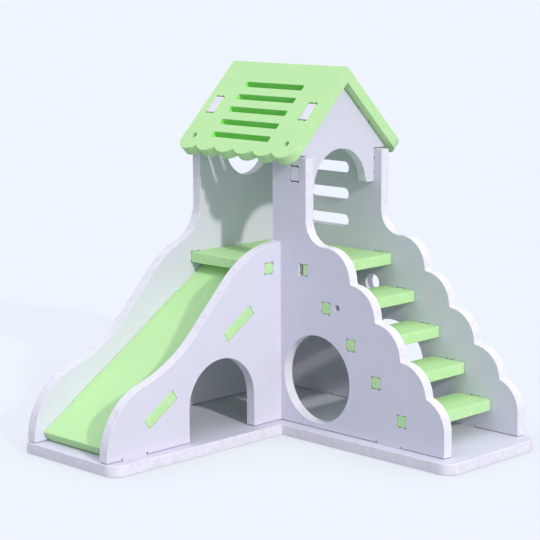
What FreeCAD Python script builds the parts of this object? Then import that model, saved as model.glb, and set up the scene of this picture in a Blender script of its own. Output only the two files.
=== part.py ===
"""Hamster house with a slide, a flight of stairs and a roofed tower.

Fourteen flat boards slot together: a base plate, two stair walls, two slide
walls, a gable panel, two roof panels, a platform, a slide board and four
treads.

Millimetres, +Z up. Z = 0 is the underside of the base plate. X = 0 is the
face of the inner slide wall that looks towards the stairs, and Y = 0 is the
outer face of the front stair wall. The stairs come down towards +X and the
slide comes down towards -Y.
"""
import FreeCAD, Part
import math
import os
import Sketcher

Vector = FreeCAD.Vector

SIZES = [
    ("board", 5.0, "thickness of every upright, roof, floor and tread board"),
    ("base_board", 5.0, "thickness of the base plate"),
    ("wing_width", 56.0, "outer width of the stair wing, along Y"),
    ("slide_width", 54.3, "outer width of the slide wing, along X"),
    ("stair_length", 97.3, "reach of the stair walls along +X"),
    ("slide_length", 105.0, "reach of the slide walls along -Y"),
    ("wall_height", 127.7, "top of the tower walls above the table"),
    ("slot_gap", 0.15, "clearance on each side of a tab in its slot"),
    ("seat_gap", 0.1, "clearance under a board that rests on another"),
    ("wall_lift", 0.35, "gap under the walls beside their feet"),
    ("foot_notch", 0.8, "width and height of the notch beside each foot"),
    ("roof_gap", 0.15, "clearance between the roof panels and what they rest on"),
    ("relief", 1.1, "radius of the cutter mark in the corner of a slot"),
    ("end_play", 0.45, "extra room at both ends of the roof and gable slots"),
    ("tower_front", 15.9, "tower edge of the stair walls, along +X"),
    ("tower_side", 3.8, "tower edge of the outer slide wall, past Y = 0"),
    ("tower_sweep", 11.0, "radius of the sweep from the tower to the stairs"),
    ("lobe_radius", 14.4, "radius of each rounded step of the stair walls"),
    ("lobe_first_run", 28.3, "centre of the highest rounded step, along X"),
    ("lobe_first_rise", 74.2, "centre of the highest rounded step, along Z"),
    ("lobe_run", 14.7, "advance from one rounded step to the next"),
    ("lobe_drop", 15.1, "fall from one rounded step to the next"),
    ("lobe_last_rise", 15.7, "centre of the lowest rounded step, along Z"),
    ("lobe_cusp", 1.3, "radius in the hollow between two rounded steps"),
    ("tread_first_front", 37.6, "front edge of the highest tread"),
    ("tread_first_top", 63.7, "top of the highest tread"),
    ("tread_run", 15.0, "advance from one tread to the next"),
    ("tread_drop", 14.68, "fall from one tread to the next"),
    ("tread_depth", 19.8, "front to back size of a tread"),
    ("tread_tab", 4.8, "width of the tab at each end of a tread"),
    ("tread_tab_back", 9.5, "middle of the tab behind the front edge"),
    ("tread_corner", 1.6, "radius of the front corners of treads and platform"),
    ("platform_top", 79.5, "top of the platform above the table"),
    ("platform_front", 23.3, "edge of the platform over the stairs"),
    ("platform_lip", 10.0, "edge of the platform over the slide, past Y = 0"),
    ("platform_tab", 5.0, "width of the platform tabs at the slide"),
    ("stair_tab_front", 16.4, "front of the platform tabs in the stair walls"),
    ("stair_tab_width", 2.3, "width of the platform tabs in the stair walls"),
    ("stair_slot_width", 4.9, "width of the slots for those tabs"),
    ("slide_slope", 33.2, "slope of the slide board, in degrees"),
    ("slide_toe", 100.1, "low end of the sliding face, past Y = 0"),
    ("slide_tab_length", 19.2, "length of each slide tab along the slope"),
    ("slide_tab_low", 20.0, "start of the low tabs up the slope"),
    ("slide_tab_high", 76.5, "start of the high tabs up the slope"),
    ("crest_toe_rise", 0.9, "start of the slide walls' low bend above the base plate"),
    ("crest_toe_radius", 31.0, "radius of the low end of the slide walls"),
    ("crest_dip_angle", 15.5, "slope of the wall's edge at its flattest, in degrees"),
    ("crest_dip_radius", 66.5, "radius of the hollow in the wall's edge"),
    ("crest_slope", 45.9, "slope of the straight part of the edge, in degrees"),
    ("crest_straight", 28.8, "length of that straight part"),
    ("crest_top_radius", 47.3, "radius of the brow of the slide walls"),
    ("tower_hollow", 18.5, "radius of the hollow from the brow to the tower"),
    ("door_middle", 37.4, "middle of the door under the slide, past Y = 0"),
    ("door_radius", 20.0, "radius of that door's round head"),
    ("door_rise", 20.0, "centre of that door's round head"),
    ("round_door_run", 22.4, "centre of the round doorways, along X"),
    ("round_door_rise", 27.8, "centre of the round doorways, along Z"),
    ("round_door_radius", 20.2, "radius of the round doorways"),
    ("peg_run", 35.0, "small hole beside the stairs, along X"),
    ("peg_rise", 62.2, "small hole beside the stairs, along Z"),
    ("peg_radius", 1.5, "radius of the small drilled holes"),
    ("spout_run", 10.5, "hole for the drinking spout, along X"),
    ("spout_rise", 64.1, "hole for the drinking spout, along Z"),
    ("spout_radius", 4.3, "radius of the hole for the drinking spout"),
    ("window_right", 4.8, "right end of the window slots, behind X = 0"),
    ("window_length", 28.8, "length of the window slots"),
    ("window_height", 5.9, "height of each window slot"),
    ("window_low", 89.1, "underside of the lowest window slot"),
    ("window_pitch", 12.65, "rise from one window slot to the next"),
    ("porthole_rise", 127.3, "centre of the round window in the outer slide wall"),
    ("porthole_radius", 14.6, "radius of the round window"),
    ("finger_low", 55.0, "underside of the finger between two walls"),
    ("finger_height", 9.3, "height of that finger"),
    ("foot_run", 59.2, "start of the foot of the stair walls, along X"),
    ("foot_width", 13.3, "width of the feet that enter the base plate"),
    ("rear_foot_run", 30.0, "start of the rear foot of the back wall, behind X = 0"),
    ("slide_foot_run", 96.0, "far end of the foot of the slide walls, past Y = 0"),
    ("gable_face", 11.2, "outer face of the gable panel, along X"),
    ("gable_arch_rise", 112.0, "centre of the arch in the gable panel"),
    ("gable_arch_radius", 17.5, "radius of the arch in the gable panel"),
    ("gable_leg_low", 112.4, "underside of the legs of the gable panel"),
    ("gable_leg_round", 2.0, "rounding at the foot of each leg"),
    ("gable_tab_low", 117.1, "underside of the gable tabs in the walls"),
    ("gable_tab_height", 6.2, "height of the gable tabs in the walls"),
    ("gable_clear", 0.5, "gap between the wall tops and the gable shoulders"),
    ("gable_shoulder", 2.4, "reach of the shoulders past the outer wall faces"),
    ("roof_rear_reach", 4.5, "roof edge past the outer slide wall, along -X"),
    ("roof_front_reach", 4.4, "roof edge past the gable panel, along +X"),
    ("roof_depth", 52.1, "ridge to the hollows of the scalloped eaves"),
    ("scallop_depth", 2.6, "depth of the scallops"),
    ("vent_rear_margin", 8.6, "rear end of the vent slots to the outer slide wall"),
    ("vent_front_margin", 9.3, "front end of the vent slots to the gable panel"),
    ("vent_first", 12.45, "ridge to the first vent slot, down the slope"),
    ("vent_pitch", 7.74, "distance from one vent slot to the next"),
    ("vent_height", 3.2, "width of each vent slot"),
    ("vent_round", 0.8, "corner radius of the vent slots"),
    ("roof_tab_start", 22.7, "ridge to the roof tabs, down the slope"),
    ("roof_tab_length", 9.4, "length of the roof tabs down the slope"),
    ("roof_hole_depth", 46.6, "ridge to the small roof holes, down the slope"),
    ("margin_stairs", 8.0, "base plate past the stair walls, along X"),
    ("margin_front", 5.8, "base plate in front of the stair wall and beside the slide"),
    ("margin_slide", 0.9, "base plate past the slide walls, along -Y"),
    ("base_corner", 7.0, "corner radius of the base plate"),
]
SCALLOPS = 6
VENTS = 5
TREADS = 4
LOBES = 5
WINDOWS = 3

doc = FreeCAD.newDocument("HamsterHouse")
sheet = doc.addObject("Spreadsheet::Sheet", "Sizes")


class Measure:
    """A length or number together with the formula that gives it."""

    def __init__(self, value, formula):
        self.value = float(value)
        self.formula = formula

    def __add__(self, other):
        other = measure(other)
        return Measure(self.value + other.value, "(%s + %s)" % (self.formula, other.formula))

    def __radd__(self, other):
        return measure(other) + self

    def __sub__(self, other):
        other = measure(other)
        return Measure(self.value - other.value, "(%s - %s)" % (self.formula, other.formula))

    def __rsub__(self, other):
        return measure(other) - self

    def __mul__(self, other):
        other = measure(other)
        return Measure(self.value * other.value, "(%s * %s)" % (self.formula, other.formula))

    def __rmul__(self, other):
        return measure(other) * self

    def __truediv__(self, other):
        other = measure(other)
        return Measure(self.value / other.value, "(%s / %s)" % (self.formula, other.formula))

    def __neg__(self):
        return Measure(-self.value, "(0 - %s)" % self.formula)


def measure(quantity):
    if isinstance(quantity, Measure):
        return quantity
    return Measure(quantity, "%.10g" % quantity)


def root(quantity):
    return Measure(math.sqrt(quantity.value), "sqrt(%s)" % quantity.formula)


def sine(quantity):
    return Measure(math.sin(math.radians(quantity.value)), "sin(%s)" % quantity.formula)


def cosine(quantity):
    return Measure(math.cos(math.radians(quantity.value)), "cos(%s)" % quantity.formula)


class Named:
    """The sizes of the sheet, each as a Measure of its own name."""


size = Named()
for row, (name, value, note) in enumerate(SIZES, start=1):
    sheet.set("A%d" % row, name)
    sheet.set("B%d" % row, "%g" % value)
    sheet.set("C%d" % row, note)
    sheet.setAlias("B%d" % row, name)
    setattr(size, name, Measure(value, "Sizes.%s" % name))
doc.recompute()

ZERO = measure(0.0)
DIAGONAL = root(measure(2.0))


def squared(quantity):
    return quantity * quantity


def bend_centre(start, end, radius, turn):
    """Centre of the short arc from start to end; turn is +1 to the left."""
    run = (end[0] - start[0], end[1] - start[1])
    chord = math.hypot(*run)
    height = math.sqrt(max(radius * radius - chord * chord / 4.0, 0.0))
    middle = ((start[0] + end[0]) / 2.0, (start[1] + end[1]) / 2.0)
    return (middle[0] - turn * height * run[1] / chord, middle[1] + turn * height * run[0] / chord)


def trace(sketch, loops):
    """Draw closed loops of (x, y, bend) points, each bound to the sheet.

    A bend of None is a straight run to the next point, and (radius, turn) is
    an arc to it. A loop of one entry (x, y, radius) is a circle.
    """
    shapes = []
    rules = []
    formulas = []

    def bind(kind, *parts):
        target = parts[-1]
        rules.append(Sketcher.Constraint(kind, *parts[:-1], target.value))
        formulas.append((len(rules) - 1, target.formula))

    for loop in loops:
        if len(loop) == 1:
            x, y, radius = loop[0]
            index = len(shapes)
            shapes.append(Part.Circle(Vector(x.value, y.value, 0), Vector(0, 0, 1), radius.value))
            bind("DistanceX", -1, 1, index, 3, x)
            bind("DistanceY", -1, 1, index, 3, y)
            bind("Radius", index, radius)
            continue
        first = len(shapes)
        ends = []
        for number, (x, y, bend) in enumerate(loop):
            after = loop[(number + 1) % len(loop)]
            start = (x.value, y.value)
            end = (after[0].value, after[1].value)
            if bend is None:
                shapes.append(Part.LineSegment(Vector(*start, 0), Vector(*end, 0)))
                ends.append((1, 2))
            else:
                radius, turn = bend
                centre = bend_centre(start, end, radius.value, turn)
                swing = [math.atan2(point[1] - centre[1], point[0] - centre[0]) for point in (start, end)]
                if turn < 0:
                    swing.reverse()
                circle = Part.Circle(Vector(*centre, 0), Vector(0, 0, 1), radius.value)
                shapes.append(Part.ArcOfCircle(circle, swing[0], swing[1]))
                ends.append((1, 2) if turn > 0 else (2, 1))
        for number, (x, y, bend) in enumerate(loop):
            index = first + number
            before = first + (number - 1) % len(loop)
            own_start = ends[number][0]
            previous_end = ends[(number - 1) % len(loop)][1]
            rules.append(Sketcher.Constraint("Coincident", before, previous_end, index, own_start))
            bind("DistanceX", -1, 1, index, own_start, x)
            bind("DistanceY", -1, 1, index, own_start, y)
            if bend is not None:
                bind("Radius", index, bend[0])
    sketch.addGeometry(shapes, False)
    sketch.addConstraint(rules)
    for index, formula in formulas:
        sketch.setExpression("Constraints[%d]" % index, formula)


def rounded(points):
    """Loop of straight runs along the axes; a third value rounds a corner."""
    loop = []
    count = len(points)
    for number, point in enumerate(points):
        x, y = point[0], point[1]
        if len(point) < 3:
            loop.append((x, y, None))
            continue
        radius = point[2]
        before = points[number - 1]
        after = points[(number + 1) % count]
        back = (before[0].value - x.value, before[1].value - y.value)
        ahead = (after[0].value - x.value, after[1].value - y.value)
        turn = 1 if back[0] * ahead[1] - back[1] * ahead[0] < 0 else -1
        steps = []
        for way in (back, ahead):
            across = 0 if abs(way[0]) < abs(way[1]) else math.copysign(1, way[0])
            along = 0 if abs(way[0]) >= abs(way[1]) else math.copysign(1, way[1])
            steps.append((x + radius * across if across else x, y + radius * along if along else y))
        loop.append((steps[0][0], steps[0][1], (radius, turn)))
        loop.append((steps[1][0], steps[1][1], None))
    return loop


def slot(low_x, high_x, low_y, high_y):
    """Rectangular slot whose corners carry the round marks of the cutter."""
    mark = size.relief
    reach = mark * DIAGONAL
    loop = []
    corners = [(low_x, low_y, 1, 1), (high_x, low_y, -1, 1), (high_x, high_y, -1, -1), (low_x, high_y, 1, -1)]
    for x, y, side, up in corners:
        beside = (x + reach * side, y)
        above = (x, y + reach * up)
        first, last = (above, beside) if side * up > 0 else (beside, above)
        loop.append((first[0], first[1], (mark, 1)))
        loop.append((x, y, (mark, 1)))
        loop.append((last[0], last[1], None))
    return loop


def plain_slot(low_x, high_x, low_y, high_y):
    """Rectangular slot with square corners."""
    return [(low_x, low_y, None), (high_x, low_y, None), (high_x, high_y, None), (low_x, high_y, None)]


def stadium(low_x, high_x, low_y, height):
    """Slot with fully rounded ends, each end as two quarter turns."""
    half = height / 2.0
    middle = low_y + half
    return [
        (low_x + half, low_y, None),
        (high_x - half, low_y, (half, 1)),
        (high_x, middle, (half, 1)),
        (high_x - half, low_y + height, None),
        (low_x + half, low_y + height, (half, 1)),
        (low_x, middle, (half, 1)),
    ]


def tilted(loop_points, foot_y, foot_z, slope):
    """Points (along, above) of a sloping board as points of an upright wall."""
    run, rise = cosine(slope), sine(slope)
    return [(foot_y + along * run - above * rise, foot_z + along * rise + above * run) for along, above in loop_points]


def sketch_on(body, role, name):
    sketch = body.newObject("Sketcher::SketchObject", name)
    plane = [feature for feature in body.Origin.OriginFeatures if feature.Role == role][0]
    sketch.AttachmentSupport = [(plane, "")]
    sketch.MapMode = "FlatFace"
    return sketch


def board_body(label, role, loop, thickness, backwards):
    """A flat board cut to one outline."""
    body = doc.addObject("PartDesign::Body", label)
    body.Label = label
    sketch = sketch_on(body, role, label + "_outline")
    trace(sketch, [loop])
    pad = body.newObject("PartDesign::Pad", label + "_board")
    pad.Profile = sketch
    pad.setExpression("Length", thickness.formula)
    pad.Reversed = backwards
    doc.recompute()
    return body


def cut_through(body, role, name, loop):
    """Cut one loop right through a board, and check that wood was removed."""
    before = body.Shape.Volume
    sketch = sketch_on(body, role, name + "_outline")
    trace(sketch, [loop])
    pocket = body.newObject("PartDesign::Pocket", name)
    pocket.Profile = sketch
    pocket.Type = "ThroughAll"
    pocket.SideType = "Symmetric"
    doc.recompute()
    removed = before - body.Shape.Volume
    if removed <= 0.0:
        raise RuntimeError("%s removes nothing" % name)
    return pocket, removed


def cut_row(body, role, name, loops):
    """Cut several openings, numbered from one."""
    for number, loop in enumerate(loops, start=1):
        cut_through(body, role, "%s_%d" % (name, number), loop)


def place(body, x=ZERO, y=ZERO, z=ZERO, tilt=None, turn=0.0):
    angle = tilt.value if tilt is not None else turn
    body.Placement = FreeCAD.Placement(Vector(x.value, y.value, z.value), FreeCAD.Rotation(Vector(1, 0, 0), angle))
    body.setExpression("Placement.Base.x", x.formula)
    body.setExpression("Placement.Base.y", y.formula)
    body.setExpression("Placement.Base.z", z.formula)
    if tilt is not None:
        body.setExpression("Placement.Rotation.Angle", tilt.formula)


# Lines that several boards share.
floor = size.base_board
wall_low = floor + size.wall_lift
inner_front = size.board
inner_back = size.wing_width - size.board
inner_rear = -size.slide_width + size.board
inner_slide = -size.board
middle = size.wing_width / 2.0
platform_low = size.platform_top - size.board
finger_high = size.finger_low + size.finger_height
eave_seat = size.wall_height + 2.0 * size.roof_gap
apex = eave_seat + middle + size.tower_side
ridge = apex + (size.board + size.roof_gap) * DIAGONAL
slide_foot_z = floor + size.board * cosine(size.slide_slope) + size.seat_gap
slide_foot_y = -size.slide_toe


def lobe_centre(number):
    if number == LOBES - 1:
        return (size.stair_length - size.lobe_radius, size.lobe_last_rise)
    return (size.lobe_first_run + size.lobe_run * number, size.lobe_first_rise - size.lobe_drop * number)


def stair_edge():
    """The stepped edge, from the foot of the stairs up to the tower top."""
    reach = size.lobe_radius + size.lobe_cusp
    lower = lobe_centre(LOBES - 1)
    points = [(size.stair_length, wall_low, None), (size.stair_length, lower[1], (size.lobe_radius, 1))]
    for number in range(LOBES - 1, 0, -1):
        low, high = lobe_centre(number), lobe_centre(number - 1)
        run, drop = low[0] - high[0], high[1] - low[1]
        span = squared(run) + squared(drop)
        lift = root(squared(reach) / span - 0.25)
        hollow = ((low[0] + high[0]) / 2.0 + drop * lift, (low[1] + high[1]) / 2.0 + run * lift)
        share = size.lobe_radius / reach
        for centre, bend in ((low, (size.lobe_cusp, -1)), (high, (size.lobe_radius, 1))):
            x = centre[0] + (hollow[0] - centre[0]) * share
            z = centre[1] + (hollow[1] - centre[1]) * share
            points.append((x, z, bend))
    top = lobe_centre(0)
    sweep_x = size.tower_front + size.tower_sweep
    both = size.lobe_radius + size.tower_sweep
    sweep_z = top[1] + root(squared(both) - squared(sweep_x - top[0]))
    share = size.lobe_radius / both
    points.append((top[0] + (sweep_x - top[0]) * share, top[1] + (sweep_z - top[1]) * share, (size.tower_sweep, -1)))
    points.append((size.tower_front, sweep_z, None))
    points.append((size.tower_front, size.wall_height, None))
    return points


def foot(start, end):
    """A foot that drops through the base plate, with a small notch on each side."""
    notch = size.foot_notch
    notch_top = wall_low + notch
    return [
        (start - notch, wall_low, None),
        (start - notch, notch_top, None),
        (start, notch_top, None),
        (start, ZERO, None),
        (end, ZERO, None),
        (end, notch_top, None),
        (end + notch, notch_top, None),
        (end + notch, wall_low, None),
    ]


def stair_wall(label, rear, rear_foot):
    """A stair wall: stepped edge, tower edge and a notch for the slide wall."""
    notch = rear + size.board
    loop = [(rear, wall_low, None)]
    if rear_foot:
        loop += foot(-size.rear_foot_run, -size.rear_foot_run + size.foot_width)
    loop += foot(size.foot_run, size.foot_run + size.foot_width)
    loop += stair_edge()
    loop += [
        (rear, size.wall_height, None),
        (rear, finger_high + size.slot_gap, None),
        (notch, finger_high + size.slot_gap, None),
        (notch, size.finger_low - size.slot_gap, None),
        (rear, size.finger_low - size.slot_gap, None),
    ]
    body = board_body(label, "XZ_Plane", loop, size.board, True)
    gap = size.slot_gap
    slots = []
    for number in range(TREADS):
        centre = size.tread_first_front - size.tread_tab_back + size.tread_run * number
        top = size.tread_first_top - size.tread_drop * number
        half = size.tread_tab / 2.0 + gap
        slots.append(slot(centre - half, centre + half, top - size.board - gap, top + gap))
    front = size.stair_tab_front + gap
    slots.append(slot(front - size.stair_slot_width, front, platform_low - gap, size.platform_top + gap))
    face = size.gable_face + gap
    room = gap + size.end_play
    low, high = size.gable_tab_low - room, size.gable_tab_low + size.gable_tab_height + room
    slots.append(slot(face - size.board - 2.0 * gap, face, low, high))
    cut_row(body, "XZ_Plane", label + "_slot", slots)
    doorway = [(size.round_door_run, size.round_door_rise, size.round_door_radius)]
    cut_through(body, "XZ_Plane", label + "_doorway", doorway)
    return body


def crest():
    """The curved edge of a slide wall, from its low end up to the brow."""
    toe = (-size.slide_length, floor + size.crest_toe_rise)
    dip = size.crest_dip_angle
    slope = size.crest_slope
    low = (
        toe[0] + size.crest_toe_radius * (1.0 - sine(dip)),
        toe[1] + size.crest_toe_radius * cosine(dip),
    )
    start = (
        low[0] + size.crest_dip_radius * (sine(slope) - sine(dip)),
        low[1] + size.crest_dip_radius * (cosine(dip) - cosine(slope)),
    )
    end = (start[0] + size.crest_straight * cosine(slope), start[1] + size.crest_straight * sine(slope))
    brow = (end[0] + size.crest_top_radius * sine(slope), end[1] - size.crest_top_radius * cosine(slope))
    edge = [
        (end[0], end[1], None),
        (start[0], start[1], (size.crest_dip_radius, -1)),
        (low[0], low[1], (size.crest_toe_radius, 1)),
        (toe[0], toe[1], None),
    ]
    return edge, brow


def slide_openings():
    """Slots for the tabs of the slide board and of the platform."""
    gap = size.slot_gap
    loops = []
    for start in (size.slide_tab_low, size.slide_tab_high):
        low, high = start - gap, start + size.slide_tab_length + gap
        corners = [(low, -size.board - gap), (high, -size.board - gap), (high, gap), (low, gap)]
        loops.append([(y, z, None) for y, z in tilted(corners, slide_foot_y, slide_foot_z, size.slide_slope)])
    lip = -size.platform_lip
    loops.append(slot(lip - gap, lip + size.platform_tab + gap, platform_low - gap, size.platform_top + gap))
    return loops


# Base plate: an L with rounded corners and a slot for each foot.
left = -size.slide_width
right = size.stair_length + size.margin_stairs
near = -size.slide_length - size.margin_slide
back = size.wing_width
base_outline = rounded([
    (left, near),
    (size.margin_front, near, size.base_corner),
    (size.margin_front, -size.margin_front),
    (right, -size.margin_front, size.base_corner),
    (right, back, size.base_corner),
    (left, back),
])
base_plate = board_body("base_plate", "XY_Plane", base_outline, size.base_board, False)
gap = size.slot_gap
foot_slots = []
for wall_y in (ZERO, inner_back):
    low, high = size.foot_run - gap, size.foot_run + size.foot_width + gap
    foot_slots.append(plain_slot(low, high, wall_y - gap, wall_y + size.board + gap))
low, high = -size.rear_foot_run - gap, -size.rear_foot_run + size.foot_width + gap
foot_slots.append(plain_slot(low, high, inner_back - gap, inner_back + size.board + gap))
for wall_x in (-size.slide_width, -size.board):
    low, high = -size.slide_foot_run - gap, -size.slide_foot_run + size.foot_width + gap
    foot_slots.append(plain_slot(wall_x - gap, wall_x + size.board + gap, low, high))
cut_row(base_plate, "XY_Plane", "base_plate_slot", foot_slots)
place(base_plate)

# Stair walls, the back one with windows and the hole for a drinking spout.
stair_front_wall = stair_wall("stair_front_wall", -size.board, False)
peg = [(size.peg_run, size.peg_rise, size.peg_radius)]
cut_through(stair_front_wall, "XZ_Plane", "stair_front_wall_peg_hole", peg)
place(stair_front_wall)

stair_back_wall = stair_wall("stair_back_wall", -size.slide_width, True)
spout = [(size.spout_run, size.spout_rise, size.spout_radius)]
cut_through(stair_back_wall, "XZ_Plane", "stair_back_wall_spout_hole", spout)
window_right = -size.window_right
window = stadium(window_right - size.window_length, window_right, size.window_low, size.window_height)
lowest_window = cut_through(stair_back_wall, "XZ_Plane", "stair_back_wall_window", window)


def repeat(body, cut, count, spacing, backwards):
    """Repeat a cut up or down the board, and check that each one cuts."""
    pocket, single = cut
    before = body.Shape.Volume
    pattern = body.newObject("PartDesign::LinearPattern", pocket.Name + "_row")
    pattern.Originals = [pocket]
    pattern.Direction = (pocket.Profile[0], ["V_Axis"])
    pattern.Reversed = backwards
    pattern.Mode = "Spacing"
    pattern.Occurrences = count
    pattern.setExpression("Offset", spacing.formula)
    body.Tip = pattern
    doc.recompute()
    removed = before - body.Shape.Volume
    if abs(removed - single * (count - 1)) > 0.01 * single:
        raise RuntimeError("%s does not cut %d times" % (pattern.Name, count))


repeat(stair_back_wall, lowest_window, WINDOWS, size.window_pitch, False)
place(stair_back_wall, y=inner_back)


def finger(edge):
    """The finger that enters the notch of a stair wall."""
    top = (edge, finger_high, None)
    tip = edge + size.board
    return [(edge, size.finger_low, None), (tip, size.finger_low, None), (tip, finger_high, None), top]


def slope_point(along, depth, front):
    """A point below the roof: along the slope from the ridge, then inwards."""
    side = (along - depth) / DIAGONAL
    y = middle - side if front else middle + side
    return (y, ridge - (along + depth) / DIAGONAL, None)


def roof_seat():
    """Both slopes under the roof with their tabs, from back to front."""
    start, end = size.roof_tab_start, size.roof_tab_start + size.roof_tab_length
    under = size.board + size.roof_gap
    tab = [(end, under), (end, ZERO), (start, ZERO), (start, under)]
    points = [slope_point(along, depth, False) for along, depth in tab]
    points.append((middle, apex, None))
    points += [slope_point(along, depth, True) for along, depth in reversed(tab)]
    return points


shoulder_low = size.wall_height + size.gable_clear
shoulder_back = size.wing_width + size.gable_shoulder
shoulder_front = -size.gable_shoulder

# Slide walls with the curved edge, the inner one with its door.
edge, brow = crest()
foot_start = -size.slide_foot_run
slide_foot = foot(foot_start, foot_start + size.foot_width)
door_near = -size.door_middle - size.door_radius
door_far = -size.door_middle + size.door_radius
inner_top = brow[1] + root(squared(size.crest_top_radius) - squared(brow[0]))
inner_loop = [(-size.slide_length, wall_low, None)] + slide_foot
inner_loop += [
    (door_near, wall_low, None),
    (door_near, size.door_rise, (size.door_radius, -1)),
    (-size.door_middle, size.door_rise + size.door_radius, (size.door_radius, -1)),
    (door_far, size.door_rise, None),
    (door_far, wall_low, None),
    (ZERO, wall_low, None),
]
inner_loop += finger(ZERO)
inner_loop += [(ZERO, inner_top, (size.crest_top_radius, 1))] + edge
slide_inner_wall = board_body("slide_inner_wall", "YZ_Plane", inner_loop, size.board, False)
cut_row(slide_inner_wall, "YZ_Plane", "slide_inner_wall_slot", slide_openings())
place(slide_inner_wall, x=-size.board)

tower_y = -size.tower_side
hollow_y = tower_y - size.tower_hollow
both = size.crest_top_radius + size.tower_hollow
hollow_z = brow[1] + root(squared(both) - squared(brow[0] - hollow_y))
share = size.crest_top_radius / both
meeting = (brow[0] + (hollow_y - brow[0]) * share, brow[1] + (hollow_z - brow[1]) * share)
outer_loop = [(-size.slide_length, wall_low, None)] + slide_foot + [(inner_back, wall_low, None)]
outer_loop += finger(inner_back)
outer_loop += [
    (inner_back, shoulder_low, None),
    (shoulder_back, shoulder_low, None),
    (shoulder_back, apex - (shoulder_back - middle), None),
]
outer_loop += roof_seat()
outer_loop += [
    (tower_y, eave_seat, None),
    (tower_y, hollow_z, (size.tower_hollow, -1)),
    (meeting[0], meeting[1], (size.crest_top_radius, 1)),
]
outer_loop += edge
slide_outer_wall = board_body("slide_outer_wall", "YZ_Plane", outer_loop, size.board, False)
cut_row(slide_outer_wall, "YZ_Plane", "slide_outer_wall_slot", slide_openings())
porthole = [(middle, size.porthole_rise, size.porthole_radius)]
cut_through(slide_outer_wall, "YZ_Plane", "slide_outer_wall_porthole", porthole)
place(slide_outer_wall, x=-size.slide_width)

# Gable panel: an arch on two short legs, with shoulders over the stair walls.
arch = size.gable_arch_radius
heel = size.gable_leg_round
leg_z = size.gable_leg_low + heel
leg_out = root(squared(arch + heel) - squared(leg_z - size.gable_arch_rise))
share = heel / (arch + heel)
throat_out = leg_out - leg_out * share
throat_z = leg_z - (leg_z - size.gable_arch_rise) * share
tab_high = size.gable_tab_low + size.gable_tab_height
gable_loop = [
    (inner_front, size.gable_leg_low, None),
    (middle - leg_out, size.gable_leg_low, (heel, 1)),
    (middle - throat_out, throat_z, (arch, -1)),
    (middle, size.gable_arch_rise + arch, (arch, -1)),
    (middle + throat_out, throat_z, (heel, 1)),
    (middle + leg_out, size.gable_leg_low, None),
    (inner_back, size.gable_leg_low, None),
    (inner_back, size.gable_tab_low, None),
    (size.wing_width, size.gable_tab_low, None),
    (size.wing_width, tab_high, None),
    (inner_back, tab_high, None),
    (inner_back, shoulder_low, None),
    (shoulder_back, shoulder_low, None),
    (shoulder_back, apex - (shoulder_back - middle), None),
]
gable_loop += roof_seat()
gable_loop += [
    (shoulder_front, apex - (middle - shoulder_front), None),
    (shoulder_front, shoulder_low, None),
    (inner_front, shoulder_low, None),
    (inner_front, tab_high, None),
    (ZERO, tab_high, None),
    (ZERO, size.gable_tab_low, None),
    (inner_front, size.gable_tab_low, None),
]
gable_arch_panel = board_body("gable_arch_panel", "YZ_Plane", gable_loop, size.board, False)
place(gable_arch_panel, x=size.gable_face - size.board)

# Platform: an L over the slide's upper end, the tower and the first stair.
gap = size.slot_gap
lip = -size.platform_lip
lip_back = lip + size.platform_tab
tab_front = size.stair_tab_front
tab_rear = tab_front - size.stair_tab_width
platform_loop = rounded([
    (-size.slide_width, lip),
    (ZERO, lip),
    (ZERO, lip_back),
    (inner_slide - gap, lip_back),
    (inner_slide - gap, inner_front + gap),
    (tab_rear, inner_front + gap),
    (tab_rear, ZERO),
    (tab_front, ZERO),
    (tab_front, inner_front + gap),
    (size.platform_front, inner_front + gap, size.tread_corner),
    (size.platform_front, inner_back - gap, size.tread_corner),
    (tab_front, inner_back - gap),
    (tab_front, size.wing_width),
    (tab_rear, size.wing_width),
    (tab_rear, inner_back - gap),
    (inner_rear + gap, inner_back - gap),
    (inner_rear + gap, lip_back),
    (-size.slide_width, lip_back),
])
platform_board = board_body("platform_board", "XY_Plane", platform_loop, size.board, False)
place(platform_board, z=platform_low)

# Slide board with two tabs on each side, under the platform at its upper end.
slide_end = (platform_low - size.seat_gap - slide_foot_z) / sine(size.slide_slope)
left_edge, right_edge = inner_rear + gap, inner_slide - gap
rungs = []
for start in (size.slide_tab_low, size.slide_tab_high):
    rungs.append((start, start + size.slide_tab_length))
slide_loop = [(left_edge, ZERO, None), (right_edge, ZERO, None)]
for start, end in rungs:
    slide_loop += [(right_edge, start, None), (ZERO, start, None), (ZERO, end, None), (right_edge, end, None)]
slide_loop += [(right_edge, slide_end, None), (left_edge, slide_end, None)]
outside = -size.slide_width
for start, end in reversed(rungs):
    slide_loop += [(left_edge, end, None), (outside, end, None), (outside, start, None), (left_edge, start, None)]
slide_board = board_body("slide_board", "XY_Plane", slide_loop, size.board, True)
place(slide_board, y=slide_foot_y, z=slide_foot_z, tilt=size.slide_slope)

# Treads, each with one tab at either end.
tab_middle = -size.tread_tab_back
tab_high_x = tab_middle + size.tread_tab / 2.0
tab_low_x = tab_middle - size.tread_tab / 2.0
treads = []
for number in range(TREADS):
    tread_loop = rounded([
        (-size.tread_depth, inner_front + gap),
        (tab_low_x, inner_front + gap),
        (tab_low_x, ZERO),
        (tab_high_x, ZERO),
        (tab_high_x, inner_front + gap),
        (ZERO, inner_front + gap, size.tread_corner),
        (ZERO, inner_back - gap, size.tread_corner),
        (tab_high_x, inner_back - gap),
        (tab_high_x, size.wing_width),
        (tab_low_x, size.wing_width),
        (tab_low_x, inner_back - gap),
        (-size.tread_depth, inner_back - gap),
    ])
    tread = board_body("stair_tread_%d" % (number + 1), "XY_Plane", tread_loop, size.board, False)
    front = size.tread_first_front + size.tread_run * number
    place(tread, x=front, z=size.tread_first_top - size.tread_drop * number - size.board)
    treads.append(tread)


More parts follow.
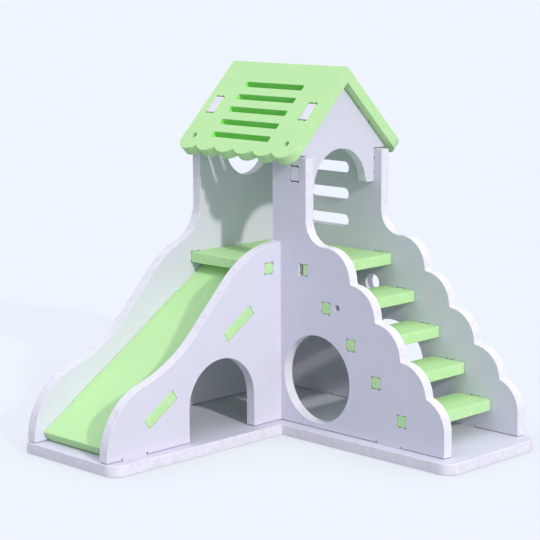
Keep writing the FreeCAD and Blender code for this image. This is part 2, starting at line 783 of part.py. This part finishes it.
def roof_panel(label, top, side):
    """A roof panel in its own plane; side is -1 for the front, +1 for the back."""
    walls = (-size.slide_width, size.gable_face - size.board)
    rear, front = walls[0] - size.roof_rear_reach, size.gable_face + size.roof_front_reach
    pitch = (front - rear) / SCALLOPS
    half = pitch / 2.0
    bow = (squared(half) + squared(size.scallop_depth)) / (size.scallop_depth * 2.0)
    tip = size.roof_depth + size.scallop_depth
    points = [(rear, top, None), (front, top, None), (front, tip - half, (half, 1)), (front - half, tip, (bow, 1))]
    for number in range(1, SCALLOPS - 1):
        points.append((front - pitch * number, size.roof_depth, (bow, 1)))
    points += [(rear + pitch, size.roof_depth, (bow, 1)), (rear + half, tip, (half, 1)), (rear, tip - half, None)]

    def laid(loop):
        if side > 0:
            return loop
        if len(loop) == 1:
            return [(x, -y, bend) for x, y, bend in loop]
        return [(x, -y, (bend[0], -bend[1]) if bend else None) for x, y, bend in loop]

    body = board_body(label, "XY_Plane", laid(points), size.board, True)
    room = gap + size.end_play
    low, high = size.roof_tab_start - room, size.roof_tab_start + size.roof_tab_length + room
    openings = []
    for face in walls:
        openings.append(laid(slot(face - gap, face + size.board + gap, low, high)))
    for face in walls:
        openings.append(laid([(face + size.board / 2.0, size.roof_hole_depth, size.peg_radius)]))
    cut_row(body, "XY_Plane", label + "_opening", openings)
    vent_end = size.vent_first + size.vent_height
    vent_rear, vent_front = walls[0] + size.board + size.vent_rear_margin, walls[1] - size.vent_front_margin
    vent = rounded([
        (vent_rear, size.vent_first, size.vent_round),
        (vent_front, size.vent_first, size.vent_round),
        (vent_front, vent_end, size.vent_round),
        (vent_rear, vent_end, size.vent_round),
    ])
    first_vent = cut_through(body, "XY_Plane", label + "_vent", laid(vent))
    repeat(body, first_vent, VENTS, size.vent_pitch, side < 0)
    return body


# Roof panels: the back one butts under the upper end of the front one.
SLOPE = 45.0
roof_front_panel = roof_panel("roof_front_panel", ZERO, -1)
place(roof_front_panel, y=middle, z=ridge, turn=SLOPE)
roof_back_panel = roof_panel("roof_back_panel", size.board + size.roof_gap, 1)
place(roof_back_panel, y=middle, z=ridge, turn=-SLOPE)

doc.recompute()
boards = [
    base_plate, stair_front_wall, stair_back_wall, slide_inner_wall, slide_outer_wall,
    gable_arch_panel, platform_board, slide_board, roof_front_panel, roof_back_panel,
] + treads
for item in doc.Objects:
    if "Invalid" in item.State or "Error" in item.State:
        raise RuntimeError("%s failed: %s" % (item.Name, item.State))
    if item.TypeId == "Sketcher::SketchObject" and not item.FullyConstrained:
        raise RuntimeError("%s is loose" % item.Name)
for item in boards:
    shape = item.Shape
    if shape.isNull() or not shape.isValid() or len(shape.Solids) != 1:
        raise RuntimeError("%s is not one sound board" % item.Label)
os.makedirs("parts", exist_ok=True)
for item in boards:
    box = item.Shape.BoundBox
    item.Shape.exportStep("parts/%s.step" % item.Label)
    extent = (item.Label, box.XMin, box.XMax, box.YMin, box.YMax, box.ZMin, box.ZMax, item.Shape.Volume)
    print("%s X %.2f..%.2f Y %.2f..%.2f Z %.2f..%.2f volume %.0f" % extent)
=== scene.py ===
"""Looks for the slotted hamster house: painted boards, pale floor, soft studio light."""
import math

import bmesh
import bpy
from mathutils import Matrix, Vector


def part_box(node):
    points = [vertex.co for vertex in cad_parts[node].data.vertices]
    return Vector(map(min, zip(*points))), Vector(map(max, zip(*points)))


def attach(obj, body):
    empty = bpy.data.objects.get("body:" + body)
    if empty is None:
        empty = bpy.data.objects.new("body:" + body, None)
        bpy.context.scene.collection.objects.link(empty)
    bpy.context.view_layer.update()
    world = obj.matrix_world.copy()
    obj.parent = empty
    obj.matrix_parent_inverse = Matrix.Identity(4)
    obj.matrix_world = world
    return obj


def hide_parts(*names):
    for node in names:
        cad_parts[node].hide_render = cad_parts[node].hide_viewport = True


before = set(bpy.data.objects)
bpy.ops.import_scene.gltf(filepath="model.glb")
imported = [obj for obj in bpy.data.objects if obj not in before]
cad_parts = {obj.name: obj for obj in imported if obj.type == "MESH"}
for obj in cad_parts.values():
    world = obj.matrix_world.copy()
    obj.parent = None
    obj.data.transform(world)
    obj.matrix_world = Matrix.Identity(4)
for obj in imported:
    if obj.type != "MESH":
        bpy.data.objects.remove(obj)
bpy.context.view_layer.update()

bl_info = {
    "name": "Hamster House",
    "version": (1, 0, 0),
    "blender": (4, 5, 0),
    "location": "View3D > Sidebar > House",
    "description": "Painted boards, roof, stairs and slide of a small hamster house",
    "category": "Object",
}

MM = 0.001

# How a board's own mesh is cleaned and sanded.
SAME_POINT = 0.002 * MM
SAME_FACE = math.radians(0.6)
SANDED_ANGLE = math.radians(32)
CREASE_ANGLE = math.radians(50)
BEVEL_SEGMENTS = 2
# A face belongs to the board's broad sides when the cosine to their normal is above this.
BROAD_SIDE = 0.98

AXES = {"X": (1, 0, 0), "Y": (0, 1, 0), "Z": (0, 0, 1)}


def corner(node, high=False):
    """Lowest or highest corner of a board, in metres."""
    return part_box(node)[1 if high else 0]


TREADS = ["stair_tread_%d" % number for number in (1, 2, 3, 4)]
TREAD_STEP = corner(TREADS[1]) - corner(TREADS[0])


def hex_channels(text):
    """Channels of #RRGGBB as Blender's gamma colour property keeps them."""
    return tuple(int(text[place:place + 2], 16) / 255 for place in (1, 3, 5))


def linear(colour):
    """An sRGB colour, as #RRGGBB or three channels, as a linear colour with alpha."""
    channels = hex_channels(colour) if isinstance(colour, str) else tuple(colour)
    return (*(c / 12.92 if c <= 0.04045 else ((c + 0.055) / 1.055) ** 2.4 for c in channels), 1.0)


def scaled(colour, share):
    """A linear colour made darker or lighter, no brighter than white."""
    return (*(min(1.0, c * share) for c in colour[:3]), 1.0)


def paint_property(name, description, default):
    """A colour that is picked as it looks, with its default given as #RRGGBB."""
    return bpy.props.FloatVectorProperty(
        name=name, description=description, subtype="COLOR_GAMMA", size=3, min=0.0, max=1.0,
        default=hex_channels(default))


def millimetres(name, description, default, low=0.0, high=1000.0):
    """A length kept in metres, with its default given in millimetres."""
    return bpy.props.FloatProperty(
        name=name, description=description, unit="LENGTH", default=default * MM, min=low * MM, max=high * MM,
        precision=5)


class HousePaint(bpy.types.PropertyGroup):
    lilac: paint_property("Lilac white", "Matt lilac white paint on the wall boards", "#D9D8E8")
    # Lighter than the face paint: partly the sanded edge's own tone and partly a painted highlight on cut edges and
    # rounded arrises.
    lilac_cut: paint_property("Lilac cut edge", "The same paint on the sanded cut edges", "#E4E3EF")
    lilac_dust: paint_property("Lilac dust", "Warm greyish fibres that show through on cut edges", "#D2C4CF")
    leaf: paint_property("Leaf green", "Matt light green paint on roof, platform, slide and treads", "#BFEAA7")
    leaf_cut: paint_property("Green cut edge", "The same paint on the sanded cut edges", "#B9E4A4")
    leaf_dust: paint_property("Green dust", "Paler fibres that show through on cut edges", "#D6EDC6")
    # Darker, more saturated green for the walls of the roof vents: painted shade standing in for the deep, green-tinged
    # shade between them.
    leaf_vent_shade: paint_property("Deep green", "Thicker paint that gathered on the walls of the roof vents", "#92E672")


class HouseBoards(bpy.types.PropertyGroup):
    edge_round: millimetres("Edge rounding", "Radius that sanding leaves along a board's edges", 0.35, 0.05, 1.0)
    grain_width: millimetres("Grain width", "Distance from one streak of grain to the next", 1.1, 0.2, 10.0)
    grain_stretch: bpy.props.FloatProperty(
        name="Grain stretch", description="Length of a streak of grain against its width", default=14.0, min=1.0,
        max=60.0)
    treads: bpy.props.IntProperty(name="Treads", description="Number of treads", default=len(TREADS), min=1, max=12)
    tread_run: bpy.props.FloatProperty(
        name="Tread run", description="Advance from one tread to the next", unit="LENGTH", default=TREAD_STEP.x)
    tread_drop: bpy.props.FloatProperty(
        name="Tread drop", description="Fall from one tread to the next", unit="LENGTH", default=-TREAD_STEP.z)


class HouseStudio(bpy.types.PropertyGroup):
    key_strength: bpy.props.FloatProperty(
        name="Key light", description="Strength of the key lamp", default=1.8, min=0.0)
    key_softness: bpy.props.FloatProperty(
        name="Key softness", description="Angle that the key lamp fills, seen from the house", subtype="ANGLE",
        default=math.radians(3.0))
    side_strength: bpy.props.FloatProperty(
        name="Side softbox", description="Strength of the broad light low in front of the stairs", default=0.32,
        min=0.0)
    side_softness: bpy.props.FloatProperty(
        name="Softbox width", description="Angle that the broad light fills, seen from the house", subtype="ANGLE",
        default=math.radians(30.0))
    fill_high: bpy.props.FloatProperty(
        name="Fill from above", description="Strength of the soft light from straight above", default=1.5, min=0.0)
    fill_low: bpy.props.FloatProperty(
        name="Fill from the sides", description="Strength of the soft light from the horizon", default=0.02, min=0.0)
    paper_bounce: bpy.props.FloatProperty(
        name="Paper bounce", description="Share of the light that the paper floor sends back up", default=0.5, min=0.0,
        max=1.0)
    backdrop: paint_property("Backdrop", "Colour of the paper behind and below the house", "#F0F5FD")


def add(tree, kind, settings=None, **inputs):
    """Add a node, set its properties, and set or link its inputs, each by name or, as i0, i1 and so on, by number."""
    node = tree.nodes.new(kind)
    for key, value in (settings or {}).items():
        setattr(node, key, value)
    for key, value in inputs.items():
        name = key.replace("_", " ")
        socket = node.inputs[int(key[1:])] if key[0] == "i" and key[1:].isdigit() else node.inputs[name]
        if isinstance(value, bpy.types.NodeSocket):
            tree.links.new(value, socket)
        else:
            socket.default_value = value
    return node


def new_material(name):
    """A material with an empty node tree, and the tree."""
    material = bpy.data.materials.new(name)
    material.use_nodes = True
    material.node_tree.nodes.clear()
    return material, material.node_tree


def noise(tree, place, spacing, detail, roughness):
    """Soft random level, from 0 to 1, whose lumps are about the given length apart."""
    return add(
        tree, "ShaderNodeTexNoise", None, Vector=place, Scale=1.0 / spacing, Detail=detail,
        Roughness=roughness).outputs[0]


def pits(tree, place):
    """Mask of tiny pits where the paint missed: each cell may hold one, and a board shows only the few it cuts."""
    cell = 13.0 * MM
    radius = 0.32 * MM
    empty_cells = 0.4
    cells = add(tree, "ShaderNodeTexVoronoi", {"feature": "F1"}, Vector=place, Scale=1.0 / cell).outputs
    near = add(tree, "ShaderNodeMath", {"operation": "LESS_THAN"}, i0=cells["Distance"], i1=radius / cell).outputs[0]
    chance = add(tree, "ShaderNodeSeparateXYZ", None, Vector=cells["Color"]).outputs[0]
    chosen = add(tree, "ShaderNodeMath", {"operation": "GREATER_THAN"}, i0=chance, i1=empty_cells).outputs[0]
    return add(tree, "ShaderNodeMath", {"operation": "MULTIPLY"}, i0=near, i1=chosen).outputs[0]


def painted_face(name, colour, grain_axis):
    """Matt emulsion rolled on sanded board: almost even, with the wood's streaks just showing.

    The eye sees a flat pale colour whose lightness drifts by a few percent over
    a few centimetres, faint long streaks, and a roughness that breaks up any shine.
    """
    boards = bpy.context.scene.house_boards
    material, tree = new_material(name)
    place = add(tree, "ShaderNodeTexCoord").outputs["Object"]
    stretch = [1.0, 1.0, 1.0]
    stretch["XYZ".index(grain_axis)] = 1.0 / boards.grain_stretch
    along = add(tree, "ShaderNodeMapping", {"vector_type": "POINT"}, Vector=place, Scale=stretch).outputs[0]
    streaks = noise(tree, along, boards.grain_width, detail=4.0, roughness=0.6)
    drift = noise(tree, place, 28.0 * MM, detail=2.0, roughness=0.5)
    tooth = noise(tree, place, 0.5 * MM, detail=2.0, roughness=0.5)
    paint = linear(colour)
    light, deep, pit_colour = (scaled(paint, share) for share in (1.03, 0.93, 0.45))
    drifted = add(tree, "ShaderNodeMix", {"data_type": "RGBA"}, i0=drift, i6=light, i7=deep).outputs[2]
    streak_level = add(
        tree, "ShaderNodeMapRange", None, Value=streaks, From_Min=0.35, From_Max=0.75, To_Max=0.7).outputs[0]
    grained = add(tree, "ShaderNodeMix", {"data_type": "RGBA"}, i0=streak_level, i6=drifted, i7=deep).outputs[2]
    pitted = add(
        tree, "ShaderNodeMix", {"data_type": "RGBA"}, i0=pits(tree, place), i6=grained, i7=pit_colour).outputs[2]
    shine = add(
        tree, "ShaderNodeMapRange", None, Value=streaks, From_Min=0.3, From_Max=0.7, To_Min=0.5, To_Max=0.66).outputs[0]
    height = add(tree, "ShaderNodeMath", {"operation": "MULTIPLY_ADD"}, i0=tooth, i1=0.35, i2=streaks).outputs[0]
    bump = add(tree, "ShaderNodeBump", None, Strength=0.22, Distance=0.05 * MM, Height=height).outputs[0]
    shader = add(
        tree, "ShaderNodeBsdfPrincipled", None, Base_Color=pitted, Roughness=shine, IOR=1.46, Normal=bump).outputs[0]
    add(tree, "ShaderNodeOutputMaterial", None, Surface=shader)
    return material


def cut_edge(name, colour, dust):
    """Routed and sanded edge under one thin coat: fibres show as small blotches.

    The eye sees a slightly lighter, rougher band with soft blotches a few
    millimetres long where the fibres never quite took the paint. On lilac boards
    the lighter tone is partly a painted highlight along the rounded edges.
    """
    material, tree = new_material(name)
    place = add(tree, "ShaderNodeTexCoord").outputs["Object"]
    blotch = noise(tree, place, 3.2 * MM, detail=4.0, roughness=0.62)
    fibre = noise(tree, place, 0.7 * MM, detail=3.0, roughness=0.6)
    level = add(tree, "ShaderNodeMapRange", None, Value=blotch, From_Min=0.46, From_Max=0.72, To_Max=0.5).outputs[0]
    mottled = add(tree, "ShaderNodeMix", {"data_type": "RGBA"}, i0=level, i6=linear(colour), i7=linear(dust)).outputs[2]
    shine = add(tree, "ShaderNodeMapRange", None, Value=fibre, To_Min=0.55, To_Max=0.75).outputs[0]
    bump = add(tree, "ShaderNodeBump", None, Strength=0.4, Distance=0.06 * MM, Height=fibre).outputs[0]
    shader = add(
        tree, "ShaderNodeBsdfPrincipled", None, Base_Color=mottled, Roughness=shine, IOR=1.46, Normal=bump).outputs[0]
    add(tree, "ShaderNodeOutputMaterial", None, Surface=shader)
    return material


EDGE_FINISHES = {
    "lilac_cut": ("lilac emulsion on cut edge", "lilac_dust"),
    "leaf_cut": ("leaf green emulsion on cut edge", "leaf_dust"),
    # The vent walls' darker green is painted shade.
    "leaf_vent_shade": ("leaf green emulsion gathered in vents", "leaf"),
}


def finish_material(kind, grain_axis="Z"):
    """The paint of a board, made once: lilac or leaf, on a face, a cut edge or in the vents."""
    paint = bpy.context.scene.house_paint
    if kind in EDGE_FINISHES:
        name, dust = EDGE_FINISHES[kind]
        return bpy.data.materials.get(name) or cut_edge(name, getattr(paint, kind), getattr(paint, dust))
    name = "%s emulsion, grain along %s" % ({"lilac": "lilac", "leaf": "leaf green"}[kind], grain_axis)
    return bpy.data.materials.get(name) or painted_face(name, getattr(paint, kind), grain_axis)


def merged_copy(node):
    """A bare copy of the board's own mesh, and its shape with the triangles joined into flat faces again."""
    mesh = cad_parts[node].data.copy()
    mesh.materials.clear()
    shape = bmesh.new()
    shape.from_mesh(mesh)
    bmesh.ops.remove_doubles(shape, verts=shape.verts[:], dist=SAME_POINT)
    bmesh.ops.dissolve_limit(
        shape, angle_limit=SAME_FACE, verts=shape.verts[:], edges=shape.edges[:], use_dissolve_boundaries=False)
    shape.normal_update()
    return mesh, shape


def soften(shape, radius, cut_index):
    """Sand every sharp edge to a small radius, and shade curves smooth."""
    sharp = [e for e in shape.edges if len(e.link_faces) == 2 and e.calc_face_angle(0.0) > SANDED_ANGLE]
    # The rounded strips take the cut-edge colour. On lilac boards its lighter tone is partly a painted highlight.
    bmesh.ops.bevel(
        shape, geom=sharp, offset=radius, offset_type="OFFSET", segments=BEVEL_SEGMENTS, profile=0.5, affect="EDGES",
        clamp_overlap=True, material=cut_index)
    for face in shape.faces:
        face.smooth = True
    for edge in shape.edges:
        if len(edge.link_faces) == 2:
            edge.smooth = edge.calc_face_angle(0.0) < CREASE_ANGLE


def even_shading(board):
    """Let the large faces set the shading, so that flat board stays flat."""
    modifier = board.modifiers.new("even shading", "WEIGHTED_NORMAL")
    modifier.mode = "FACE_AREA"
    modifier.weight = 100
    modifier.keep_sharp = True


def in_zone(point, zone):
    """Whether a point lies inside a box given by its two corners."""
    return zone is not None and all(zone[0][i] < point[i] < zone[1][i] for i in range(3))


def sanded_board(node, name, normal, paint, grain_axis, body="house", vent_shade_zone=None):
    """A painted board: broad sides in one finish, cut edges in another, and the walls of vents in a third, darker green
    that is painted shade.
    """
    broad, cut, deep = 0, 1, 2
    mesh, shape = merged_copy(node)
    for face in shape.faces:
        if abs(face.normal.dot(Vector(normal))) > BROAD_SIDE:
            face.material_index = broad
        else:
            # Cut faces inside the vent zone take the darker green, which is painted shade.
            face.material_index = deep if in_zone(face.calc_center_median(), vent_shade_zone) else cut
    soften(shape, bpy.context.scene.house_boards.edge_round, cut)
    shape.to_mesh(mesh)
    shape.free()
    mesh.materials.append(finish_material(paint, grain_axis))
    mesh.materials.append(finish_material(paint + "_cut"))
    if vent_shade_zone is not None:
        mesh.materials.append(finish_material(paint + "_vent_shade"))
    board = bpy.data.objects.new(name, mesh)
    bpy.context.scene.collection.objects.link(board)
    even_shading(board)
    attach(board, body)
    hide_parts(node)


# Each lilac board: node, name of its painted piece, axis across the board and axis of its grain.
LILAC_BOARDS = (
    ("base_plate", "painted_base_plate", "Z", "X"),
    ("stair_front_wall", "painted_stair_front_wall", "Y", "Z"),
    ("stair_back_wall", "painted_stair_back_wall", "Y", "Z"),
    ("slide_inner_wall", "painted_slide_inner_wall", "X", "Z"),
    ("slide_outer_wall", "painted_slide_outer_wall", "X", "Z"),
    ("gable_arch_panel", "painted_gable_panel", "X", "Z"),
)


class HOUSE_OT_walls(bpy.types.Operator):
    """Base plate, stair walls, slide walls and gable panel in lilac white"""
    bl_idname = "house.walls"
    bl_label = "Lilac walls"

    def execute(self, context):
        for node, name, across, grain in LILAC_BOARDS:
            sanded_board(node, name, AXES[across], "lilac", grain)
        return {"FINISHED"}


# The cut faces inside this box are painted a darker green as shade.
def vent_zone(node):
    """Box round the vents of a roof panel: between the two gables, clear of ridge and eaves."""
    low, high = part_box(node)
    side_clear, ridge_clear, eave_clear = 5.0 * MM, 6.0 * MM, 6.0 * MM
    low.x = corner("slide_outer_wall", high=True).x + side_clear
    high.x = corner("gable_arch_panel").x - side_clear
    low.z += eave_clear
    high.z -= ridge_clear
    return low, high


class HOUSE_OT_roof(bpy.types.Operator):
    """Scalloped roof panels with their vents, in leaf green"""
    bl_idname = "house.roof"
    bl_label = "Green roof"

    def execute(self, context):
        half_pitch = math.sqrt(0.5)
        for side, way in (("front", -half_pitch), ("back", half_pitch)):
            node, body = "roof_%s_panel" % side, "roof_" + side
            sanded_board(node, "painted_" + body, (0, way, half_pitch), "leaf", "X", body, vent_zone(node))
        return {"FINISHED"}


class HOUSE_OT_floors(bpy.types.Operator):
    """Platform and slide board in leaf green"""
    bl_idname = "house.floors"
    bl_label = "Platform and slide"

    def execute(self, context):
        sanded_board("platform_board", "painted_platform", AXES["Z"], "leaf", "Y")
        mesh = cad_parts["slide_board"].data
        widest = max(mesh.polygons, key=lambda face: face.area)
        sanded_board("slide_board", "painted_slide", widest.normal, "leaf", "Y")
        return {"FINISHED"}


def flight_tree(face_paint, cut_paint):
    """Geometry Nodes: one tread repeated down the flight, then painted."""
    tree = bpy.data.node_groups.new("flight of treads", "GeometryNodeTree")
    for name, kind in (("Tread", "Geometry"), ("Treads", "Int"), ("Run", "Float"), ("Drop", "Float")):
        tree.interface.new_socket(name, in_out="INPUT", socket_type="NodeSocket" + kind)
    tree.interface.new_socket("Flight", in_out="OUTPUT", socket_type="NodeSocketGeometry")
    given = tree.nodes.new("NodeGroupInput").outputs
    fall = add(tree, "ShaderNodeMath", {"operation": "MULTIPLY"}, i0=given["Drop"], i1=-1.0).outputs[0]
    step = add(tree, "ShaderNodeCombineXYZ", None, X=given["Run"], Z=fall).outputs[0]
    line = add(tree, "GeometryNodeMeshLine", {"mode": "OFFSET"}, Count=given["Treads"], Offset=step).outputs[0]
    flight = add(tree, "GeometryNodeInstanceOnPoints", None, Points=line, Instance=given["Tread"]).outputs[0]
    solid = add(tree, "GeometryNodeRealizeInstances", None, Geometry=flight).outputs[0]
    edged = add(tree, "GeometryNodeSetMaterial", None, Geometry=solid, Material=cut_paint).outputs[0]
    normal = add(tree, "GeometryNodeInputNormal").outputs[0]
    upright = add(tree, "ShaderNodeSeparateXYZ", None, Vector=normal).outputs[2]
    level = add(tree, "ShaderNodeMath", {"operation": "ABSOLUTE"}, i0=upright).outputs[0]
    flat = add(tree, "ShaderNodeMath", {"operation": "GREATER_THAN"}, i0=level, i1=BROAD_SIDE).outputs[0]
    painted = add(tree, "GeometryNodeSetMaterial", None, Geometry=edged, Selection=flat, Material=face_paint).outputs[0]
    output = tree.nodes.new("NodeGroupOutput")
    tree.links.new(painted, output.inputs[0])
    return tree


class HOUSE_OT_treads(bpy.types.Operator):
    """The flight of treads between the stair walls, in leaf green"""
    bl_idname = "house.treads"
    bl_label = "Green treads"

    def execute(self, context):
        boards = context.scene.house_boards
        mesh, shape = merged_copy(TREADS[0])
        soften(shape, boards.edge_round, 0)
        shape.to_mesh(mesh)
        shape.free()
        tread = bpy.data.objects.new("one_tread", mesh)
        context.scene.collection.objects.link(tread)
        tree = flight_tree(finish_material("leaf", "Y"), finish_material("leaf_cut"))
        modifier = tread.modifiers.new("flight", "NODES")
        modifier.node_group = tree
        values = {"Treads": boards.treads, "Run": boards.tread_run, "Drop": boards.tread_drop}
        for item in tree.interface.items_tree:
            if item.name in values:
                modifier[item.identifier] = values[item.name]
        context.view_layer.update()
        evaluated = tread.evaluated_get(context.evaluated_depsgraph_get())
        flight_mesh = bpy.data.meshes.new_from_object(evaluated)
        tread.modifiers.remove(modifier)
        bpy.data.objects.remove(tread)
        flight = bpy.data.objects.new("painted_treads", flight_mesh)
        context.scene.collection.objects.link(flight)
        even_shading(flight)
        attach(flight, "house")
        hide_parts(*TREADS)
        return {"FINISHED"}


# Where the photograph was taken from, fitted to the house's measured corners.
CAMERA_AIM = Vector((0.0, 0.0, 80.0 * MM))
CAMERA_AZIMUTH = math.radians(44.949)
CAMERA_ELEVATION = math.radians(9.931)
CAMERA_ROLL = math.radians(-0.2934)
CAMERA_SLIDE = (-4.0865 * MM, -4.4769 * MM)
CAMERA_DISTANCE = 819.93 * MM
FOCAL_PIXELS = 1797.37
FRAME_PIXELS = 540.0
CENTRE_PIXELS = (271.784, 269.829)
SENSOR_MM = 36.0
CAMERA_RANGE = (0.01, 100.0)

# Direction from the house to the key lamp, from the shadows inside the tower.
KEY_DIRECTION = Vector((1.0, -0.2156, 0.545)).normalized()
KEY_COLOUR = "#FFFBF5"
# Direction from the house to the broad light low in front of the stairs.
SIDE_DIRECTION = Vector((0.47, -0.32, 0.07)).normalized()
SOFTBOX_COLOUR = "#FFFFFF"

# The paper floor: half its width, how far it lies under the house, and what the camera sees of it.
PAPER_HALF = 30.0
PAPER_DROP = 0.2 * MM
PAPER_SHADE = 0.16
PAPER_GLOW = (0.69, 0.81)
CONTACT_REACH = 32.0 * MM
CONTACT_SAMPLES = 16


def aim_camera(scene):
    """The camera of the photograph: it turns round CAMERA_AIM, slides in its own plane and rolls a little."""
    a, e, r = CAMERA_AZIMUTH, CAMERA_ELEVATION, CAMERA_ROLL
    forward = Vector((-math.sin(a) * math.cos(e), math.cos(a) * math.cos(e), -math.sin(e)))
    right = Vector((math.cos(a), math.sin(a), 0.0))
    up = right.cross(forward)
    target = CAMERA_AIM + right * CAMERA_SLIDE[0] + up * CAMERA_SLIDE[1]
    tilted_right = right * math.cos(r) + up * math.sin(r)
    tilted_up = up * math.cos(r) - right * math.sin(r)
    data = bpy.data.cameras.new("studio camera")
    data.sensor_fit = "HORIZONTAL"
    data.sensor_width = SENSOR_MM
    data.lens = FOCAL_PIXELS / FRAME_PIXELS * SENSOR_MM
    data.shift_x = (FRAME_PIXELS / 2.0 - CENTRE_PIXELS[0]) / FRAME_PIXELS
    data.shift_y = (CENTRE_PIXELS[1] - FRAME_PIXELS / 2.0) / FRAME_PIXELS
    data.clip_start, data.clip_end = CAMERA_RANGE
    camera = bpy.data.objects.new("studio camera", data)
    axes = Matrix((tilted_right, tilted_up, -forward)).transposed()
    camera.matrix_world = Matrix.Translation(target - forward * CAMERA_DISTANCE) @ axes.to_4x4()
    scene.collection.objects.link(camera)
    scene.camera = camera


def paper_floor(scene, colour, bounce):
    """Wide sheet of pale paper: nearly white to the camera, with a faint cast shadow and a soft shade by the base."""
    mesh = bpy.data.meshes.new("paper floor")
    corners = [(x * PAPER_HALF, y * PAPER_HALF, 0.0) for x, y in ((-1, -1), (1, -1), (1, 1), (-1, 1))]
    mesh.from_pydata(corners, [], [(0, 1, 2, 3)])
    floor = bpy.data.objects.new("paper_floor", mesh)
    floor.location.z = -PAPER_DROP
    scene.collection.objects.link(floor)
    material, tree = new_material("matt backdrop paper")
    white = linear(colour)
    paper = add(tree, "ShaderNodeBsdfDiffuse", None, Color=scaled(white, bounce)).outputs[0]
    shade = add(tree, "ShaderNodeBsdfDiffuse", None, Color=scaled(white, PAPER_SHADE)).outputs[0]
    contact = add(tree, "ShaderNodeAmbientOcclusion", {"samples": CONTACT_SAMPLES}, Distance=CONTACT_REACH)
    level = add(
        tree, "ShaderNodeMapRange", None, Value=contact.outputs["AO"], From_Min=0.3, To_Min=PAPER_GLOW[0],
        To_Max=PAPER_GLOW[1]).outputs[0]
    glow = add(tree, "ShaderNodeEmission", None, Color=white, Strength=level).outputs[0]
    both = add(tree, "ShaderNodeAddShader", None, i0=shade, i1=glow).outputs[0]
    seen = add(tree, "ShaderNodeLightPath").outputs["Is Camera Ray"]
    shader = add(tree, "ShaderNodeMixShader", None, i0=seen, i1=paper, i2=both).outputs[0]
    add(tree, "ShaderNodeOutputMaterial", None, Surface=shader)
    mesh.materials.append(material)


def soft_room(scene, studio):
    """Light from all around, strongest from above; the camera sees it as an even backdrop."""
    world = bpy.data.worlds.new("studio room")
    world.use_nodes = True
    tree = world.node_tree
    tree.nodes.clear()
    seen = add(tree, "ShaderNodeLightPath").outputs["Is Camera Ray"]
    direction = add(tree, "ShaderNodeTexCoord").outputs["Generated"]
    height = add(tree, "ShaderNodeSeparateXYZ", None, Vector=direction).outputs[2]
    fill = add(
        tree, "ShaderNodeMapRange", None, Value=height, To_Min=studio.fill_low, To_Max=studio.fill_high).outputs[0]
    level = add(tree, "ShaderNodeMix", {"data_type": "FLOAT"}, i0=seen, i2=fill, i3=1.0).outputs[0]
    light = add(tree, "ShaderNodeBackground", None, Color=linear(studio.backdrop), Strength=level).outputs[0]
    add(tree, "ShaderNodeOutputWorld", None, Surface=light)
    scene.world = world


def far_lamp(scene, name, direction, strength, softness, colour):
    """A lamp so far off that it lights everything alike."""
    lamp = bpy.data.lights.new(name, "SUN")
    lamp.energy = strength
    lamp.angle = softness
    lamp.color = linear(colour)[:3]
    light = bpy.data.objects.new(name, lamp)
    light.rotation_euler = direction.to_track_quat("Z", "Y").to_euler()
    scene.collection.objects.link(light)
    return light


class HOUSE_OT_stage(bpy.types.Operator):
    """Pale floor, light from all around, key lamp, side softbox and the camera"""
    bl_idname = "house.stage"
    bl_label = "Studio"

    def execute(self, context):
        scene = context.scene
        studio = scene.house_studio
        paper_floor(scene, studio.backdrop, studio.paper_bounce)
        soft_room(scene, studio)
        far_lamp(scene, "key lamp", KEY_DIRECTION, studio.key_strength, studio.key_softness, KEY_COLOUR)
        side = far_lamp(
            scene, "side softbox", SIDE_DIRECTION, studio.side_strength, studio.side_softness, SOFTBOX_COLOUR)
        side.visible_glossy = False
        aim_camera(scene)
        scene.view_settings.view_transform = "Standard"
        return {"FINISHED"}


class HOUSE_PT_panel(bpy.types.Panel):
    """Sizes, paints and the steps that dress the house"""
    bl_label = "Hamster house"
    bl_idname = "HOUSE_PT_panel"
    bl_space_type = "VIEW_3D"
    bl_region_type = "UI"
    bl_category = "House"

    def draw(self, context):
        layout = self.layout
        for group in GROUPS:
            owner = getattr(context.scene, group)
            box = layout.box()
            for name in owner.__annotations__:
                box.prop(owner, name)
        for step in STEPS:
            layout.operator(step.bl_idname)


STEPS = (HOUSE_OT_walls, HOUSE_OT_roof, HOUSE_OT_floors, HOUSE_OT_treads, HOUSE_OT_stage)
GROUPS = {"house_paint": HousePaint, "house_boards": HouseBoards, "house_studio": HouseStudio}
CLASSES = (*GROUPS.values(), *STEPS, HOUSE_PT_panel)


def register():
    for item in CLASSES:
        bpy.utils.register_class(item)
    for name, group in GROUPS.items():
        setattr(bpy.types.Scene, name, bpy.props.PointerProperty(type=group))


def unregister():
    for name in GROUPS:
        delattr(bpy.types.Scene, name)
    for item in reversed(CLASSES):
        bpy.utils.unregister_class(item)


def main():
    register()
    bpy.ops.house.walls()
    bpy.ops.house.roof()
    bpy.ops.house.floors()
    bpy.ops.house.treads()
    bpy.ops.house.stage()


if __name__ == "__main__":
    main()
